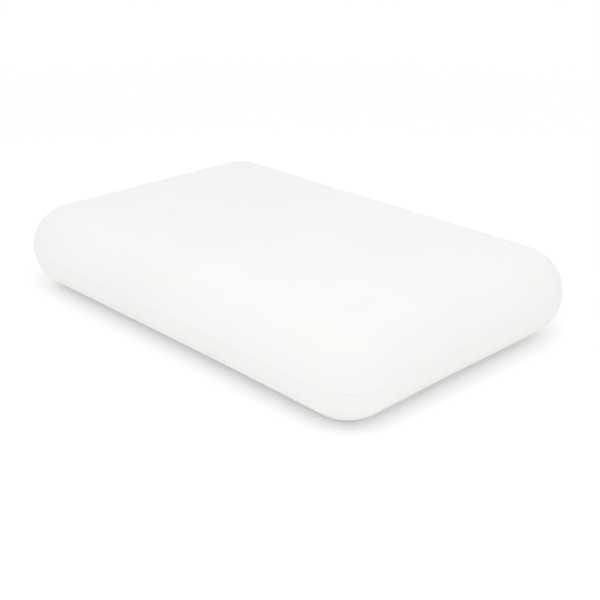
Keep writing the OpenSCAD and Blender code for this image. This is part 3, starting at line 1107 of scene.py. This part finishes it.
def knit_height(tree, wale, course):
    """Loops of a plain knit.

    A sine along the courses whose phase follows a zigzag across each wale, and a groove between wales.
    """
    u, v = cloth_coordinates(tree)
    loops = ripple(tree, plus(tree, v, math_node(tree, "PINGPONG", u, wale / 2), 1.1), course)
    groove = ripple(tree, u, wale, "COSINE")
    return plus(tree, math_node(tree, "MULTIPLY", loops, 0.6), groove, -0.5)


def slanted_rib(tree, along, around):
    """A sine whose crests run aslant: one pitch along the thread and another one round it."""
    u, v = cloth_coordinates(tree)
    turned = math_node(tree, "MULTIPLY", u, math.tau / along)
    return math_node(tree, "SINE", plus(tree, turned, v, math.tau / around))


# %% The cover: fine double knit, matte, with a faint uneven tone, painted shade in the grooves between its loops, and soft sheen
white_knit, tree, shader = new_material("white_knit", (0.887, 0.884, 0.868), 0.92,
                                        Sheen_Weight=0.12, Sheen_Roughness=0.55, Specular_IOR_Level=0.25)
loops, lint, cloud = knit_height(tree, 1.15 * MM, 0.85 * MM), noise(tree, 420, 3), noise(tree, 9, 3)
# The base colour follows the loops as well as the cloud: painted shade darkens the grooves between loops and
# lightens their crests, and the cloud adds a faint uneven tone.
tint(tree, shader, plus(tree, loops, cloud, 1.6), -0.3, 1.9, (0.856, 0.853, 0.836), (0.918, 0.915, 0.9))
bump(tree, shader, (cloud, 0.25, 0.6 * MM), (lint, 0.3, 0.12 * MM), (loops, 0.35, 0.09 * MM))

# %% The liner: thinner single jersey, slightly cream, with wider wales
cream_jersey, tree, shader = new_material("cream_jersey", (0.86, 0.85, 0.81), 0.9,
                                          Sheen_Weight=0.2, Sheen_Roughness=0.5)
loops, cloud = knit_height(tree, 1.6 * MM, 1.2 * MM), noise(tree, 14, 3)
tint(tree, shader, cloud, 0.3, 0.7, (0.84, 0.83, 0.785), (0.88, 0.87, 0.83))
bump(tree, shader, (cloud, 0.3, 0.8 * MM), (loops, 0.6, 0.14 * MM))

# %% Sewing thread: two plies of polyester, twisted
twisted_thread, tree, shader = new_material("twisted_thread", (0.93, 0.93, 0.92), 0.6,
                                            Sheen_Weight=0.3, Sheen_Roughness=0.35)
ply = slanted_rib(tree, 0.9 * MM, 0.55 * MM)
# The base colour is darker in the grooves between the plies and lighter on their crests: painted shade.
tint(tree, shader, ply, -1, 1, (0.91, 0.91, 0.895), (0.955, 0.955, 0.945))
bump(tree, shader, (ply, 0.4, 0.06 * MM))

# %% The seam's cord: the cover's yarn packed tight, with a fine diagonal rib
seam_yarn, tree, shader = new_material("seam_yarn", (0.94, 0.94, 0.93), 0.85,
                                       Sheen_Weight=0.15, Sheen_Roughness=0.5)
tint(tree, shader, noise(tree, 60, 2), 0.3, 0.7, (0.925, 0.925, 0.912), (0.95, 0.95, 0.94))
bump(tree, shader, (slanted_rib(tree, 1.2 * MM, 1.5 * MM), 0.5, 0.1 * MM))

# %% Woven tape: a herringbone, whose diagonal changes sides every 1.5 mm across the tape
herringbone, tree, shader = new_material("herringbone_tape", (0.9, 0.9, 0.89), 0.8,
                                         Sheen_Weight=0.2, Sheen_Roughness=0.4)
u, v = cloth_coordinates(tree)
twill = ripple(tree, math_node(tree, "ADD", u, math_node(tree, "PINGPONG", v, 1.5 * MM)), 0.7 * MM)
# The base colour follows the twill, darker in its grooves and lighter on its ribs: painted shade.
tint(tree, shader, twill, -1, 1, (0.86, 0.86, 0.845), (0.92, 0.92, 0.91))
bump(tree, shader, (plus(tree, twill, ripple(tree, v, 0.5 * MM), 0.35), 0.6, 0.09 * MM))

# %% Label satin: long floats along the ribbon, a faint binding line across them, and a soft shine
ribbon_satin, tree, shader = new_material("ribbon_satin", (0.93, 0.93, 0.91), 0.38,
                                          Sheen_Weight=0.4, Sheen_Roughness=0.3, Anisotropic=0.4)
u, v = cloth_coordinates(tree)
binding = ripple(tree, math_node(tree, "ADD", v, u), 1.1 * MM)
satin = plus(tree, ripple(tree, u, 0.28 * MM), binding, 0.3)
# The base colour is darker between the floats and lighter on them, which is painted shade, and the noise adds
# a random uneven tone.
satin_shade_and_tone = plus(tree, satin, noise(tree, 120, 2), 2)
tint(tree, shader, satin_shade_and_tone, -0.3, 2.3, (0.84, 0.84, 0.82), (0.95, 0.95, 0.935))
bump(tree, shader, (satin, 0.4, 0.04 * MM))

# %% Memory foam: cream, with open cells of about a millimetre under a moulded skin
memory_foam, tree, shader = new_material("memory_foam", (0.9, 0.87, 0.76), 0.95,
                                         Subsurface_Weight=0.1, Subsurface_Scale=0.004)
cloud = noise(tree, 30, 4)
cells = over_object(tree, "ShaderNodeTexVoronoi", Scale=900).outputs["Distance"]
tint(tree, shader, cloud, 0.3, 0.7, (0.88, 0.85, 0.73), (0.92, 0.895, 0.8))
bump(tree, shader, (cloud, 0.3, 0.8 * MM), (cells, 0.7, 0.35 * MM))

# %% Drawn nylon wire: smooth and slightly glossy, with faint draw marks along it
nylon_wire, tree, shader = new_material("nylon_wire", (0.9, 0.9, 0.885), 0.34,
                                        Subsurface_Weight=0.15, Subsurface_Scale=0.001)
tint(tree, shader, noise(tree, 900, 2), 0.3, 0.7, (0.87, 0.87, 0.85), (0.92, 0.92, 0.91))
bump(tree, shader, (ripple(tree, cloth_coordinates(tree)[1], 0.2 * MM), 0.2, 0.02 * MM))

# %% Nickel-plated zinc: bright, tumbled, and of a roughness that varies where hands rub it
nickel_plate, tree, shader = new_material("nickel_plate", (0.62, 0.61, 0.59), 0.3, Metallic=1.0)
rub, grain = noise(tree, 1100, 5, 0.6), noise(tree, 5000, 2)
tree.links.new(ramp(tree, rub, (0, 1), (0.18, 0.36)), shader.inputs["Roughness"])
tint(tree, shader, rub, 0.3, 0.7, (0.595, 0.585, 0.565), (0.65, 0.645, 0.63))
bump(tree, shader, (rub, 0.08, 0.05 * MM), (grain, 0.1, 0.015 * MM))

# %% Put each finish on its pieces
finishes = {
    white_knit: [cover_top, cover_bottom],
    seam_yarn: [seam_cord],
    twisted_thread: [seam_thread, overlock, topstitch, bartacks, *coil_threads],
    cream_jersey: liners,
    memory_foam: [foam],
    herringbone: tapes,
    nylon_wire: coils,
    ribbon_satin: [label],
    nickel_plate: [slider, tab, bottom_stop, top_stops],
}
for material, members in finishes.items():
    for piece in members:
        piece.data.materials.append(material)
    print(f"{material.name}: {len(members)} pieces")

# %% [markdown]
# ## Floor, light and camera
#
# The pillow lies on a plain white surface in a white room, so the light comes from all sides and the
# only shadow is the narrow one where the round edge meets the floor. The floor glows a little: that
# keeps it clean white away from the pillow and lets it light the pillow's lower edge, as a white
# table does. One large soft lamp above the near side brightens the near edge. Where its light fades,
# the floor's glow grows with the distance, so that the white stays even.

# %% Floor
FLOOR_HALF = 12
FLOOR_GAP = 0.1 * MM
GLOW = (0.1, 0.132)
GLOW_REACH = (0.9, 2.2)
floor_corners = FLOOR_HALF * np.array([[-1, -1, 0], [1, -1, 0], [1, 1, 0], [-1, 1, 0]]) - FLOOR_GAP * UP
floor = mesh_piece("floor", floor_corners, [[0, 1, 2, 3]], smooth=False)
floor_white, tree, shader = new_material("floor_white", (0.93, 0.93, 0.93), 1, Specular_IOR_Level=0)
shader.inputs["Emission Color"].default_value = (1, 1, 1, 1)
place = tree.nodes.new("ShaderNodeTexCoord")
distance = tree.nodes.new("ShaderNodeVectorMath")
distance.operation = "LENGTH"
tree.links.new(place.outputs["Object"], distance.inputs[0])
tree.links.new(ramp(tree, distance.outputs["Value"], GLOW_REACH, GLOW), shader.inputs["Emission Strength"])
floor.data.materials.append(floor_white)

# %% Light
ROOM_STRENGTH = 0.94
LAMP_PLACE = (0.38, -0.38, 1.1)
LAMP_TARGET = (0.2, -0.1, 0)
LAMP_SIZE = 0.8
LAMP_POWER = 1.9
world = bpy.data.worlds.new("white_room")
bpy.context.scene.world = world
world.use_nodes = True
world.node_tree.nodes["Background"].inputs["Color"].default_value = (1, 1, 1, 1)
world.node_tree.nodes["Background"].inputs["Strength"].default_value = ROOM_STRENGTH
lamp_data = bpy.data.lights.new("near_softbox", "AREA")
lamp_data.size = LAMP_SIZE
lamp_data.energy = LAMP_POWER
lamp = bpy.data.objects.new("near_softbox", lamp_data)
bpy.context.scene.collection.objects.link(lamp)
toward_x, toward_y, toward_z = np.subtract(LAMP_TARGET, LAMP_PLACE)
tilt = math.atan2(math.hypot(toward_x, toward_y), -toward_z)
lamp.location = LAMP_PLACE
lamp.rotation_euler = (tilt, 0, math.atan2(toward_y, toward_x) - math.pi / 2)

# %% Camera
CAMERA_PLACE = (0.92, -0.8611, 0.5518)
CAMERA_DOWN = 23.356
CAMERA_HEADING = 46.015
camera_data = bpy.data.cameras.new("camera")
camera_data.sensor_width = 36
camera_data.lens = 65.33
camera = bpy.data.objects.new("camera", camera_data)
bpy.context.scene.collection.objects.link(camera)
camera.location = CAMERA_PLACE
camera.rotation_euler = (math.radians(90 - CAMERA_DOWN), 0, math.radians(CAMERA_HEADING))
bpy.context.scene.camera = camera
bpy.context.scene.view_settings.view_transform = "Standard"
